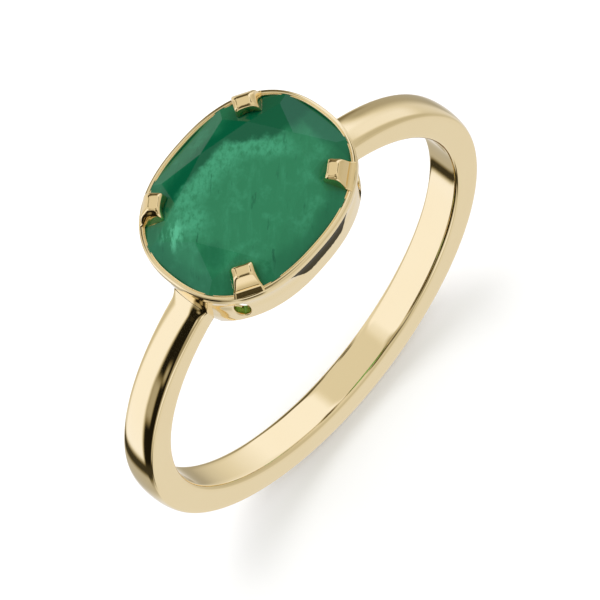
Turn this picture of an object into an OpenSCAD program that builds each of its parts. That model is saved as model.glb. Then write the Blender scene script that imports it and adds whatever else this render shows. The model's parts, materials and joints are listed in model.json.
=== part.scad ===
// Claw-set ring with an oval stone, long axis across the finger.
// Frame: the origin is the centre of the finger hole, Y is the finger's axis,
// +Z points out through the stone, and X runs from shoulder to shoulder. Millimetres.

/* [Shank] */
// Inside diameter of the finger hole
finger_d = 17.2; // [15:0.1:20]
// Width of the band between its flat sides
band_w = 1.6; // [1.4:0.05:2.4]
// Thickness of the band's flat side
side_t = 1.2; // [1:0.05:1.6]
// Height of the dome on the outside of the band
dome_h = 0.21; // [0.1:0.01:0.4]
// How much further from the finger the outside sits at the bottom than at the sides
heel = 0.16; // [0:0.01:0.3]
// Size of the bevel along both inner edges
inner_bevel = 0.12; // [0.05:0.01:0.2]

/* [Stone] */
// Length of the stone, from shoulder to shoulder
stone_l = 9; // [8:0.1:10]
// Width of the stone, along the finger
stone_w = 7.2; // [6.5:0.1:8]
// Squareness of the oval, where 2 is an ellipse
stone_e = 2.36; // [2:0.02:2.6]
// Height of the crown above the girdle
crown_h = 0.9; // [0.6:0.05:1.2]
// Size of the table as a share of the outline
table_share = 0.66; // [0.55:0.01:0.72]
// Thickness of the girdle
girdle_t = 0.12; // [0.08:0.01:0.2]
// Distance from the ring's centre to the girdle's underside
girdle_z = 11.22; // [11.1:0.01:11.5]
// Distance from the ring's centre to the stone's lowest point
culet_z = 8.85; // [8.75:0.01:9.1]

/* [Head] */
// Thickness of the rim round the girdle
rim_t = 0.18; // [0.14:0.01:0.25]
// How far the rim is turned in over the crown
rim_lap = 0.08; // [0.04:0.01:0.1]
// Thickness of the collet's wall
wall_t = 0.42; // [0.35:0.01:0.5]
// Distance from the ring's centre to the collet's lower edge at front and back
collet_z = 9.05; // [8.9:0.01:9.2]
// Width of each pierced window
window_w = 0.7; // [0.5:0.05:1.2]
// Height of each pierced window
window_h = 1.35; // [1.2:0.05:1.35]

/* [Claws] */
// Height of the claws above the rim
claw_h = 0.95; // [0.85:0.05:1.1]
// Width of a claw at its foot
claw_w = 1.36; // [1:0.02:1.5]
// Width of the small flat on top of a claw
claw_top_w = 0.64; // [0.4:0.02:0.8]
// How far a claw reaches in over the stone
claw_reach = 1.2; // [0.9:0.05:1.3]

/* [Hidden] */

gold = [0.86, 0.75, 0.50];
green = [0.13, 0.50, 0.34];
round_fn = 180;          // facets that stand for a full turn of the band
oval_n = 72;             // corners of every oval outline
big = 30;                // longer than the ring in any direction
skim = 0.01;             // how far a cutting shape overshoots the face it cuts

finger_r = finger_d / 2;
a = stone_l / 2;
b = stone_w / 2;
crown_z = girdle_z + girdle_t;
table_z = crown_z + crown_h;
rim_z0 = girdle_z - 0.37;         // underside of the rim and top of the collet
lap_z = crown_z + 0.08;           // underside of the turned-in edge
rim_z1 = lap_z + 0.08;            // top of the rim
window_z = collet_z + 0.2 + window_h / 2;
claw_t = 49.6;                    // outline parameter of a claw's foot, in degrees
window_t = 40;                    // outline parameter of a window's middle, in degrees

// The collet's outside: [offset from the girdle's outline, height]
collet_side = [[0.05, rim_z0], [-0.02, 10.45], [-0.04, 9.9], [-0.08, 9.3],
               [-0.13, 8.7], [-0.26, 8.0], [-0.42, 7.4]];

// --- outlines -------------------------------------------------------------------------------

// A point of the oval with half-axes ra and rb, at outline parameter t
function oval_point(ra, rb, t) =
    [ra * sign(cos(t)) * pow(abs(cos(t)), 2 / stone_e),
     rb * sign(sin(t)) * pow(abs(sin(t)), 2 / stone_e)];

// The girdle's outline, moved outwards by d
function oval(d) = [for (i = [0:oval_n - 1]) oval_point(a + d, b + d, i * 360 / oval_n)];

// Direction in degrees that the girdle faces at outline parameter t
function facing(t) = let (p = oval_point(a, b, t))
    atan2(sign(p.y) * pow(abs(p.y), stone_e - 1) / pow(b, stone_e),
          sign(p.x) * pow(abs(p.x), stone_e - 1) / pow(a, stone_e));

// Distance from the centre to the girdle's tangent at outline parameter t
function reach(t) = let (p = oval_point(a, b, t), f = facing(t)) p.x * cos(f) + p.y * sin(f);

// Solid oval whose side runs through rows of [offset, height], listed from top to bottom
module oval_loft(rows) {
    n = oval_n;
    points = [for (r = rows) for (p = oval(r[0])) [p.x, p.y, r[1]]];
    sides = [for (k = [0:len(rows) - 2]) for (i = [0:n - 1]) let (j = (i + 1) % n)
             each [[k * n + i, k * n + j, (k + 1) * n + j], [k * n + i, (k + 1) * n + j, (k + 1) * n + i]]];
    top = [for (i = [n - 1:-1:0]) i];
    bottom = [for (i = [0:n - 1]) (len(rows) - 1) * n + i];
    polyhedron(points, concat(sides, [top, bottom]), convexity = 4);
}

// Oval ring with straight walls between two offsets of the girdle's outline
module oval_band(d_in, d_out, z0, z1) {
    translate([0, 0, z0])
        linear_extrude(z1 - z0)
            difference() {
                polygon(oval(d_out));
                polygon(oval(d_in));
            }
}

// --- shank ----------------------------------------------------------------------------------

// Half of the band's section: flat side, then a low elliptical dome
function band_section() =
    let (w = band_w / 2, r = finger_r + side_t)
    concat([[0, -w], [r, -w]],
           [for (s = [-80:10:80]) [r + dome_h * cos(s), w * sin(s)]],
           [[r, w], [0, w]]);

// The finger hole, its bevelled edges and the clear space in front of and behind the band
module finger_space() {
    wide = finger_r + inner_bevel;
    rotate([90, 0, 0])
        cylinder(r = finger_r, h = band_w + 1, center = true, $fn = round_fn);
    for (side = [-1, 1])
        rotate([-side * 90, 0, 0]) {
            translate([0, 0, band_w / 2 - inner_bevel - skim])
                cylinder(r1 = finger_r - skim, r2 = wide, h = inner_bevel + skim, $fn = round_fn);
            translate([0, 0, band_w / 2 - skim / 2])
                cylinder(r = wide, h = big, $fn = round_fn);
        }
}

module shank() {
    color(gold)
        difference() {
            translate([0, 0, -heel])
                rotate([90, 0, 0])
                    rotate_extrude($fn = round_fn)
                        polygon(band_section());
            finger_space();
            // the gap that the head fills
            oval_loft(collet_side);
        }
}

// --- head -----------------------------------------------------------------------------------

// Profile below the collet's lower edge, seen along X: flat at front and back, swept down in the middle
module collet_underside() {
    sweep_w = 2.6;
    sweep_h = 1.45;
    foot_w = band_w / 2 + 0.05;
    rotate([90, 0, 90])
        linear_extrude(big, center = true)
            for (side = [-1, 1])
                scale([side, 1])
                    difference() {
                        translate([foot_w, 5])
                            square([5, collet_z - 5]);
                        translate([foot_w, collet_z - sweep_h])
                            scale([sweep_w, sweep_h])
                                difference() {
                                    square(1);
                                    translate([1, 0])
                                        circle(r = 1, $fn = 48);
                                }
                    }
}

// Upright slot with round ends, drilled through the wall at outline parameter t
module window(t) {
    p = oval_point(a, b, t);
    r = window_w / 2;
    translate([p.x, p.y, window_z])
        rotate([90, 0, facing(t) + 90])
            linear_extrude(2.4, center = true) {
                square([window_w, window_h - window_w], center = true);
                for (end = [-1, 1])
                    translate([0, end * (window_h - window_w) / 2])
                        circle(r = r, $fn = 32);
            }
}

module collet() {
    bore = [for (row = collet_side) [row[0] - wall_t, row[1]]];
    above = [bore[0][0], rim_z0 + skim];
    below = [bore[len(bore) - 1][0], 7.4 - skim];
    color(gold)
        difference() {
            oval_loft(collet_side);
            oval_loft(concat([above], bore, [below]));
            collet_underside();
            finger_space();
            for (t = [window_t, 180 - window_t, 180 + window_t, 360 - window_t])
                window(t);
        }
}

module rim() {
    color(gold) {
        oval_band(0, rim_t, rim_z0, lap_z);
        oval_band(-rim_lap, rim_t - 0.04, lap_z, rim_z1);
    }
}

// Wedge-shaped ring on top of the collet, its upper face parallel to the stone's underside
module stone_seat() {
    z = girdle_z - 0.04;
    color(gold)
        difference() {
            oval_band(-0.34, 0, rim_z0, z);
            oval_loft([[0, z + skim], [-0.01, z], [-0.34, rim_z0], [-0.34, rim_z0 - skim]]);
        }
}

// --- claws ----------------------------------------------------------------------------------

// One claw, in the quadrant that sx and sy give
module claw(sx, sy) {
    foot = oval_point(a + rim_t, b + rim_t, claw_t);
    top = rim_z1 + claw_h;
    flat = 0.45;                      // length of the small flat on top
    flat_u = -0.53;                   // outer end of that flat, measured from the foot
    side = [[0.02, rim_z1 - 0.2], [0.02, rim_z1 + 0.1], [flat_u, top], [flat_u - flat, top],
            [-claw_reach, top - 0.22], [-claw_reach, crown_z], [-0.3, rim_z1 - 0.2]];
    front = [[-claw_w / 2, rim_z1 - 0.2], [claw_w / 2, rim_z1 - 0.2], [claw_w / 2 - 0.12, rim_z1 + 0.3],
             [claw_top_w / 2, top], [-claw_top_w / 2, top], [-claw_w / 2 + 0.12, rim_z1 + 0.3]];
    plan = [[0.1, claw_w / 2], [-claw_reach, 0.5], [-claw_reach, -0.5], [0.1, -claw_w / 2]];
    color(gold)
        mirror([sx < 0 ? 1 : 0, 0, 0])
            mirror([0, sy < 0 ? 1 : 0, 0])
                difference() {
                    translate([foot.x, foot.y, 0])
                        rotate(facing(claw_t))
                            intersection() {
                                rotate([90, 0, 0])
                                    linear_extrude(3, center = true)
                                        polygon(side);
                                rotate([90, 0, 90])
                                    linear_extrude(4, center = true)
                                        polygon(front);
                                translate([0, 0, 10])
                                    linear_extrude(4)
                                        polygon(plan);
                            }
                    rim_space();
                    crown_space();
                }
}

// Everything at or below the rim's top, inside the rim's outer face
module rim_space() {
    translate([0, 0, rim_z0])
        linear_extrude(rim_z1 - rim_z0)
            square([2 * (a + 1), 2 * (b + 1)], center = true);
}

// The stone's crown as the claws are notched to fit it
module crown_space() {
    difference() {
        translate([0, 0, girdle_z])
            linear_extrude(table_z - girdle_z)
                polygon(oval(0));
        crown_cuts();
    }
}

module claw_front_left() { claw(-1, -1); }
module claw_front_right() { claw(1, -1); }
module claw_back_left() { claw(-1, 1); }
module claw_back_right() { claw(1, 1); }

// --- stone ----------------------------------------------------------------------------------

// Everything beyond a facet through point p that faces azimuth az and leans tilt from straight up
module facet(p, az, tilt) {
    translate(p)
        rotate([0, tilt, az])
            translate([-big / 2, -big / 2, 0])
                cube(big);
}

// Eight main facets and eight star facets round the table
module crown_cuts() {
    for (k = [0:7]) {
        t = k * 45;
        main = atan(crown_h / ((1 - table_share) * reach(t)));
        g = oval_point(a, b, t);
        facet([g.x, g.y, crown_z], facing(t), main);
        p = table_share * g;
        q = table_share * oval_point(a, b, t + 45);
        chord = q - p;
        facet([p.x, p.y, table_z], atan2(-chord.x, chord.y), main * 0.62);
    }
}

// Sixteen facets below the girdle, and eight that meet at the culet
module pavilion_cuts() {
    steep = 0.9;                      // slope of the facets next to the girdle
    share = 0.72;                     // where those facets end, as a share of the outline
    for (k = [0:15]) {
        t = k * 22.5;
        g = oval_point(a, b, t);
        facet([g.x, g.y, girdle_z], facing(t), 180 - atan(steep));
    }
    for (k = [0:7]) {
        t = k * 45;
        drop = girdle_z - steep * (1 - share) * reach(t) - culet_z;
        facet([0, 0, culet_z], facing(t), 180 - atan(drop / (share * reach(t))));
    }
}

module emerald() {
    color(green)
        difference() {
            translate([0, 0, culet_z - 1])
                linear_extrude(table_z - culet_z + 1)
                    polygon(oval(0));
            crown_cuts();
            pavilion_cuts();
        }
}

shank();
collet();
rim();
stone_seat();
claw_front_left();
claw_front_right();
claw_back_left();
claw_back_right();
emerald();
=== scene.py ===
"""Claw-set ring with an oval green stone: the looks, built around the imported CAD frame.

Sizes are in millimetres until a mesh is made, and the frame is the CAD's: the origin is the centre
of the finger hole, Y is the finger's axis, +Z points out through the stone, and X runs from shoulder
to shoulder.
"""

import json
import logging
import math
from dataclasses import dataclass, field
from enum import Enum
from itertools import accumulate
from typing import Callable, ClassVar, Sequence

import bmesh
import bpy
from mathutils import Matrix, Vector


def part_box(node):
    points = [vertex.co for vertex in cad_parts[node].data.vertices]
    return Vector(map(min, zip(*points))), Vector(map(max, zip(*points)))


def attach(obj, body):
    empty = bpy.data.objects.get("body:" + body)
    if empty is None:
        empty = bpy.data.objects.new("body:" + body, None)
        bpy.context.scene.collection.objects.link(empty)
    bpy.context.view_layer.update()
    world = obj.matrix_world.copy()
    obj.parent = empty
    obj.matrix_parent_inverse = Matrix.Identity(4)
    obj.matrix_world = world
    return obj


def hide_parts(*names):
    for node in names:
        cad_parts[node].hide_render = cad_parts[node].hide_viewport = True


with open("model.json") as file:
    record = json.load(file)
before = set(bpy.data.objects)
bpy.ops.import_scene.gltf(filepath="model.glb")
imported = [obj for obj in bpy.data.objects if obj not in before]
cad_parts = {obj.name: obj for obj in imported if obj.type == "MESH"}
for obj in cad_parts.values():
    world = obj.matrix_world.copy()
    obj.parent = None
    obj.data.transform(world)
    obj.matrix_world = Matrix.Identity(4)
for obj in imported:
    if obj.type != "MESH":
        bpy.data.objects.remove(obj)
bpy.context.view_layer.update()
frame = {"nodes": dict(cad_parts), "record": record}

MM = 0.001
FULL_TURN = 2 * math.pi

logging.basicConfig(level=logging.INFO, format="%(name)s: %(message)s")
log = logging.getLogger("ring")

Pair = tuple[float, float]
Point = tuple[float, float, float]
Colour = tuple[float, float, float, float]
Socket = bpy.types.NodeSocket
Input = Socket | float | Colour


# --- measures taken from the frame ---------------------------------------------------------------


def box_mm(node: str) -> tuple[Vector, Vector]:
    """Gives the lowest and the highest corner of a CAD node in millimetres."""
    low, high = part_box(node)
    return Vector(low) / MM, Vector(high) / MM


def finger_radius() -> float:
    """Gives the finger hole's radius in millimetres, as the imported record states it."""
    mounts = {m["name"]: m for m in frame["record"]["mounts"]}
    return mounts["finger_hole"]["dims"]["r_mm"]


def lengths(points: Sequence[Pair]) -> list[float]:
    """Gives the length of a chain of points up to each of them."""
    return list(accumulate((math.dist(p, q) for p, q in zip(points, points[1:])), initial=0.0))


def even_places(run: Sequence[float], count: int) -> list[tuple[int, float]]:
    """Finds places spaced evenly along a chain of straight pieces.

    Args:
        run: Length of the chain up to each of its points.
        count: How many places to find, the first at the start.

    Returns:
        For each place, the number of its piece and the share of that piece before it.
    """
    places, k = [], 0
    for i in range(count):
        goal = run[-1] * i / count
        while run[k + 1] < goal:
            k += 1
        places.append((k, (goal - run[k]) / (run[k + 1] - run[k])))
    return places


@dataclass(frozen=True)
class Oval:
    """The stone's outline: an ellipse with slightly squared shoulders.

    Attributes:
        half_length: Half of its length along X.
        half_width: Half of its width along Y.
        squareness: Exponent of the curve, where 2 is an ellipse.
    """

    half_length: float
    half_width: float
    squareness: float = 2.36

    def point(self, t: float, out: float = 0.0) -> Pair:
        """Gives the outline's x and y at parameter t in radians, with both half-axes longer by out."""
        c, s = math.cos(t), math.sin(t)
        power = 2 / self.squareness
        x = (self.half_length + out) * math.copysign(abs(c) ** power, c)
        y = (self.half_width + out) * math.copysign(abs(s) ** power, s)
        return x, y

    def facing(self, t: float) -> float:
        """Gives the direction in radians that the outline faces at parameter t."""
        x, y = self.point(t)
        power = self.squareness - 1
        nx = math.copysign(abs(x) ** power, x) / self.half_length**self.squareness
        ny = math.copysign(abs(y) ** power, y) / self.half_width**self.squareness
        return math.atan2(ny, nx)

    def reach(self, t: float) -> float:
        """Gives the distance from the centre to the outline's tangent at parameter t."""
        x, y = self.point(t)
        f = self.facing(t)
        return x * math.cos(f) + y * math.sin(f)

    def share(self, x: float, y: float, out: float = 0.0) -> float:
        """Gives 0 at the centre, 1 on the outline lengthened by out, and more outside it."""
        u = abs(x) / (self.half_length + out)
        v = abs(y) / (self.half_width + out)
        return (u**self.squareness + v**self.squareness) ** (1 / self.squareness)

    def stations(self, count: int) -> list[float]:
        """Spaces parameters evenly by length round the outline.

        Args:
            count: How many to make, a multiple of four.

        Returns:
            The parameters in radians, the first at 0.
        """
        fine = 4000
        quarter = [math.pi / 2 * i / fine for i in range(fine + 1)]
        run = lengths([self.point(t) for t in quarter])
        params = [quarter[k] + share * (quarter[k + 1] - quarter[k])
                  for k, share in even_places(run, count // 4)]
        half = params + [math.pi / 2] + [math.pi - t for t in reversed(params[1:])]
        return half + [t + math.pi for t in half]


# --- mesh making ---------------------------------------------------------------------------------


def put_in_scene(name: str, data: bpy.types.ID) -> bpy.types.Object:
    """Makes an object of a mesh, a lamp or a camera, and links it to the scene."""
    obj = bpy.data.objects.new(name, data)
    bpy.context.scene.collection.objects.link(obj)
    return obj


class MeshPlan:
    """Collects points and faces in millimetres and turns them into a Blender object."""

    def __init__(self) -> None:
        """Starts with nothing in it."""
        self.points: list[Point] = []
        self.faces: list[tuple[int, ...]] = []

    def row(self, points: Sequence[Point]) -> list[int]:
        """Adds points and gives their numbers."""
        start = len(self.points)
        self.points.extend(points)
        return list(range(start, start + len(points)))

    def bridge(self, first: Sequence[int], second: Sequence[int], closed: bool = True) -> None:
        """Fills the strip between two rows, or two loops if closed, of equal length with quads."""
        n = len(first)
        for i in range(n if closed else n - 1):
            j = (i + 1) % n
            self.faces.append((first[i], first[j], second[j], second[i]))

    def cap(self, loop: Sequence[int], middle: Point) -> None:
        """Closes a loop with a fan of triangles round a middle point."""
        (centre,) = self.row([middle])
        n = len(loop)
        for i in range(n):
            self.faces.append((loop[i], loop[(i + 1) % n], centre))

    def build(self, name: str, crease: float = 40.0) -> bpy.types.Object:
        """Makes the object, with its faces turned outwards and its edges smoothed.

        Args:
            name: The object's name.
            crease: Edges that turn by more degrees than this stay sharp.

        Returns:
            The new object, linked to the scene.
        """
        mesh = bpy.data.meshes.new(name)
        mesh.from_pydata([(x * MM, y * MM, z * MM) for x, y, z in self.points], [], self.faces)
        tidy = bmesh.new()
        tidy.from_mesh(mesh)
        bmesh.ops.remove_doubles(tidy, verts=tidy.verts, dist=1e-5 * MM)
        bmesh.ops.recalc_face_normals(tidy, faces=tidy.faces)
        tidy.to_mesh(mesh)
        tidy.free()
        mesh.shade_smooth()
        mesh.set_sharp_from_angle(angle=math.radians(crease))
        return put_in_scene(name, mesh)


def rounded(corners: Sequence[Pair], radii: Sequence[float], steps: int) -> list[Pair]:
    """Rounds the corners of a closed polygon with arcs.

    Args:
        corners: The polygon's corners in order.
        radii: One radius for each corner, 0 for a sharp one.
        steps: How many straight pieces make each arc.

    Returns:
        The rounded outline's points.
    """
    result: list[Pair] = []
    n = len(corners)
    for i, radius in enumerate(radii):
        p = Vector(corners[i])
        to_last = Vector(corners[i - 1]) - p
        to_next = Vector(corners[(i + 1) % n]) - p
        if radius <= 0:
            result.append(tuple(p))
            continue
        angle = to_last.angle(to_next)
        back = min(radius / math.tan(angle / 2), to_last.length * 0.49, to_next.length * 0.49)
        start, end = p + to_last.normalized() * back, p + to_next.normalized() * back
        for k in range(steps + 1):
            u = k / steps
            result.append(tuple(start * (1 - u) ** 2 + p * 2 * u * (1 - u) + end * u**2))
    return result


def along(rows: Sequence[Pair], z: float) -> float:
    """Reads a smooth curve through rows of (value, height) at one height.

    Args:
        rows: The curve's rows from top to bottom.
        z: The height to read it at.

    Returns:
        The value there.
    """
    if z >= rows[0][1]:
        return rows[0][0]
    if z <= rows[-1][1]:
        return rows[-1][0]
    k = next(i for i in range(len(rows) - 1) if rows[i + 1][1] <= z)
    (v0, z0), (v1, z1) = rows[k], rows[k + 1]
    slopes = [(end[0] - start[0]) / (end[1] - start[1]) for start, end in zip(rows, rows[1:])]
    m0 = slopes[k] if k == 0 else (slopes[k - 1] + slopes[k]) / 2
    m1 = slopes[k] if k == len(slopes) - 1 else (slopes[k] + slopes[k + 1]) / 2
    h = z1 - z0
    u = (z - z0) / h
    return ((2 * u**3 - 3 * u**2 + 1) * v0 + (u**3 - 2 * u**2 + u) * h * m0
            + (-2 * u**3 + 3 * u**2) * v1 + (u**3 - u**2) * h * m1)


# --- finishes ------------------------------------------------------------------------------------


class NodeBook:
    """Adds and links the nodes of one material or group."""

    def __init__(self, tree: bpy.types.NodeTree) -> None:
        """Keeps the tree that the nodes go into."""
        self.tree = tree

    def add(self, kind: str, **settings: object) -> bpy.types.Node:
        """Adds a node.

        Args:
            kind: The node's type name.
            settings: Node properties, or values of inputs whose names are given with an in_ prefix.

        Returns:
            The new node.
        """
        node = self.tree.nodes.new(kind)
        for key, value in settings.items():
            if key.startswith("in_"):
                node.inputs[key[3:].replace("_", " ")].default_value = value
            else:
                setattr(node, key, value)
        return node

    def link(self, source: Socket, target: Socket) -> None:
        """Joins two sockets."""
        self.tree.links.new(source, target)

    def feed(self, target: Socket, value: Input) -> None:
        """Drives an input with a socket, or sets it to a number or a colour."""
        if isinstance(value, Socket):
            self.link(value, target)
        else:
            target.default_value = value

    def math(self, operation: str, *inputs: Input) -> Socket:
        """Adds a Math node and gives its output."""
        node = self.add("ShaderNodeMath", operation=operation)
        for socket, value in zip(node.inputs, inputs):
            self.feed(socket, value)
        return node.outputs[0]

    def times(self, *factors: Input) -> Socket:
        """Multiplies two or more inputs, from the left."""
        product = factors[0]
        for factor in factors[1:]:
            product = self.math("MULTIPLY", product, factor)
        return product

    def most(self, *values: Input) -> Socket:
        """Gives the largest of two or more inputs."""
        largest = values[0]
        for value in values[1:]:
            largest = self.math("MAXIMUM", largest, value)
        return largest

    def step(self, value: Socket, start: float, end: float) -> Socket:
        """Adds a smooth step that gives 0 where the value is start and 1 where it is end."""
        low, high = min(start, end), max(start, end)
        node = self.add("ShaderNodeMapRange", interpolation_type="SMOOTHSTEP")
        self.link(value, node.inputs["Value"])
        for name, number in (("From Min", low), ("From Max", high), ("To Min", float(start > end)),
                             ("To Max", float(end > start))):
            node.inputs[name].default_value = number
        return node.outputs["Result"]

    def band(self, value: Socket, rise: Pair, fall: Pair) -> Socket:
        """Gives 1 between two smooth steps and 0 beyond them."""
        return self.times(self.step(value, *rise), self.step(value, *fall))

    def ramp(self, source: Socket, stops: Sequence[tuple[float, Colour]]) -> Socket:
        """Adds a colour ramp with stops of (place, colour), and gives its colour."""
        node = self.add("ShaderNodeValToRGB")
        elements = node.color_ramp.elements
        for i, (place, colour) in enumerate(stops):
            element = elements[i] if i < 2 else elements.new(place)
            element.position = place
            element.color = colour
        self.link(source, node.inputs["Fac"])
        return node.outputs["Color"]

    def mix(self, share: Input, first: Input, second: Input, kind: str = "RGBA") -> Socket:
        """Mixes two colours, or two numbers if kind is FLOAT, by the share of the second."""
        node = self.add("ShaderNodeMix", data_type=kind)
        one, two, mixed = (6, 7, 2) if kind == "RGBA" else (2, 3, 0)
        for place, value in ((0, share), (one, first), (two, second)):
            self.feed(node.inputs[place], value)
        return node.outputs[mixed]


@dataclass(frozen=True)
class UnderRimShade:
    """The strip under the rim, at the front and the back, painted dark as the shade under the rim's overhang.

    Attributes:
        colour: Its colour, painted dark and olive as the shade under the rim.
        left: Where it starts along X, and where it hangs full down.
        right: Where it ends along X, and where it still hangs full down.
        top: Heights where it ends and where it is full.
        side: Distances from the ring's middle plane where it starts and where it is full.
        base: Height of its lower edge at its two ends.
        depth: How much lower that edge is in between.
        soft: Softness of that edge.
        ragged: How far noise moves that edge.
        dull: How much rougher it is than the polish.
    """

    # Painted shade under the rim: a dark, saturated olive.
    colour: Colour = (0.034, 0.024, 0.001, 1)
    left: Pair = (-1.95, -0.55)
    right: Pair = (2.5, 1.3)
    top: Pair = (11.12, 11.06)
    side: Pair = (2.6, 3.0)
    base: float = 11.08
    depth: float = 1.1
    soft: float = 0.03
    ragged: float = 0.12
    dull: float = 0.35

    def mask(self, book: NodeBook, place: Socket, ripple: Socket) -> Socket:
        """Marks the strip of painted shade under the rim.

        Args:
            book: The group's nodes.
            place: The point on the surface.
            ripple: Fine noise that roughens the lower edge.

        Returns:
            1 in the painted shade and 0 elsewhere.
        """
        split = book.add("ShaderNodeSeparateXYZ")
        book.link(place, split.inputs[0])
        x, y, z = split.outputs
        limits = (self.left, self.right, self.top, self.side)
        left, right, top, side = ([v * MM for v in pair] for pair in limits)
        hang = book.math("MULTIPLY_ADD", book.band(x, left, right), -self.depth * MM, self.base * MM)
        lift = book.times(book.math("SUBTRACT", ripple, 0.5), self.ragged * MM)
        over = book.math("SUBTRACT", z, book.math("ADD", hang, lift))
        below_rim = book.times(book.step(over, -self.soft * MM, self.soft * MM), book.step(z, *top))
        return book.times(below_rim, book.step(book.math("ABSOLUTE", y), *side))


def polished_metal_group() -> bpy.types.NodeTree:
    """Builds, once, the surface that every polished gold piece shares.

    Returns:
        A group that puts out a colour, a roughness, how metallic it is, and a height.
    """
    name = "polished_metal"
    if name in bpy.data.node_groups:
        return bpy.data.node_groups[name]
    group = bpy.data.node_groups.new(name, "ShaderNodeTree")
    for label in ("Tint", "Shade"):
        group.interface.new_socket(label, in_out="INPUT", socket_type="NodeSocketColor")
    for label in ("Roughness", "Hairlines", "Waviness", "Painted_Shade"):
        group.interface.new_socket(label, in_out="INPUT", socket_type="NodeSocketFloat")
    for label, kind in (("Colour", "NodeSocketColor"), ("Roughness", "NodeSocketFloat"),
                        ("Metallic", "NodeSocketFloat"), ("Height", "NodeSocketFloat")):
        group.interface.new_socket(label, in_out="OUTPUT", socket_type=kind)
    book = NodeBook(group)
    enter, leave = book.add("NodeGroupInput"), book.add("NodeGroupOutput")
    place = book.add("ShaderNodeTexCoord").outputs["Object"]

    def noise(scale: float, detail: float, stretch: Point = (1, 1, 1)) -> Socket:
        """Adds noise of a given number of lumps per millimetre, pulled out along an axis by stretch."""
        mapping = book.add("ShaderNodeMapping")
        mapping.inputs["Scale"].default_value = stretch
        book.link(place, mapping.inputs["Vector"])
        texture = book.add("ShaderNodeTexNoise", in_Scale=scale / MM, in_Detail=detail)
        book.link(mapping.outputs["Vector"], texture.inputs["Vector"])
        return texture.outputs["Fac"]

    # The strip under the rim is painted as shade: a dark colour, not metallic, and rougher than the polish.
    under_rim_shade = UnderRimShade()
    patches, hairline_depth = 0.55, 0.02
    broad, fine = noise(0.45, 2), noise(9, 3, (1, 0.12, 1))
    swell, speck = noise(0.9, 1), noise(4, 4)
    colour = book.mix(book.times(broad, patches), enter.outputs["Tint"], enter.outputs["Shade"])
    shade_share = book.times(under_rim_shade.mask(book, place, fine), enter.outputs["Painted_Shade"])
    book.link(book.mix(shade_share, colour, under_rim_shade.colour), leave.inputs["Colour"])
    polish = book.times(enter.outputs["Roughness"], book.math("MULTIPLY_ADD", speck, 0.9, 0.55))
    book.link(book.math("MULTIPLY_ADD", shade_share, under_rim_shade.dull, polish), leave.inputs["Roughness"])
    book.link(book.math("SUBTRACT", 1, shade_share), leave.inputs["Metallic"])
    lines = book.times(fine, book.times(enter.outputs["Hairlines"], hairline_depth))
    waves = book.times(swell, enter.outputs["Waviness"])
    book.link(book.math("ADD", lines, waves), leave.inputs["Height"])
    return group


def new_material(name: str) -> tuple[bpy.types.Material, NodeBook, bpy.types.Node]:
    """Starts a material and gives it with its nodes and its shader."""
    material = bpy.data.materials.new(name)
    material.use_nodes = True
    return material, NodeBook(material.node_tree), material.node_tree.nodes["Principled BSDF"]


@dataclass(frozen=True)
class GoldFinish:
    """A polished yellow gold.

    Attributes:
        name: The material's name.
        tint: Its colour where it is clean.
        shade: Its slightly deeper colour in patches.
        roughness: How far from a mirror it is.
        hairlines: Depth of the fine polishing lines, as a share of the usual one.
        waviness: Depth of the slow undulation that hand polishing leaves.
        painted_shade: How far the shade painted under the rim shows, from 0 to 1.
        specular: How strongly the surface shines where it isn't metallic, in the painted shade under the rim.
        relief: Height of the hairlines and waves together.
    """

    name: str
    tint: Colour = (0.96, 0.795, 0.465, 1)
    shade: Colour = (0.94, 0.75, 0.41, 1)
    roughness: float = 0.06
    hairlines: float = 0.4
    waviness: float = 0.4
    painted_shade: float = 0.0
    specular: float = 0.08
    relief: float = 0.006

    def build(self) -> bpy.types.Material:
        """Makes the material."""
        material, book, skin = new_material(self.name)
        surface = book.add("ShaderNodeGroup", node_tree=polished_metal_group())
        for label in ("Tint", "Shade", "Roughness", "Hairlines", "Waviness", "Painted_Shade"):
            surface.inputs[label].default_value = getattr(self, label.lower())
        skin.inputs["Specular IOR Level"].default_value = self.specular
        bump = book.add("ShaderNodeBump", in_Strength=1.0, in_Distance=self.relief * MM)
        book.link(surface.outputs["Height"], bump.inputs["Height"])
        book.link(surface.outputs["Colour"], skin.inputs["Base Color"])
        for label in ("Roughness", "Metallic"):
            book.link(surface.outputs[label], skin.inputs[label])
        book.link(bump.outputs["Normal"], skin.inputs["Normal"])
        return material


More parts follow.
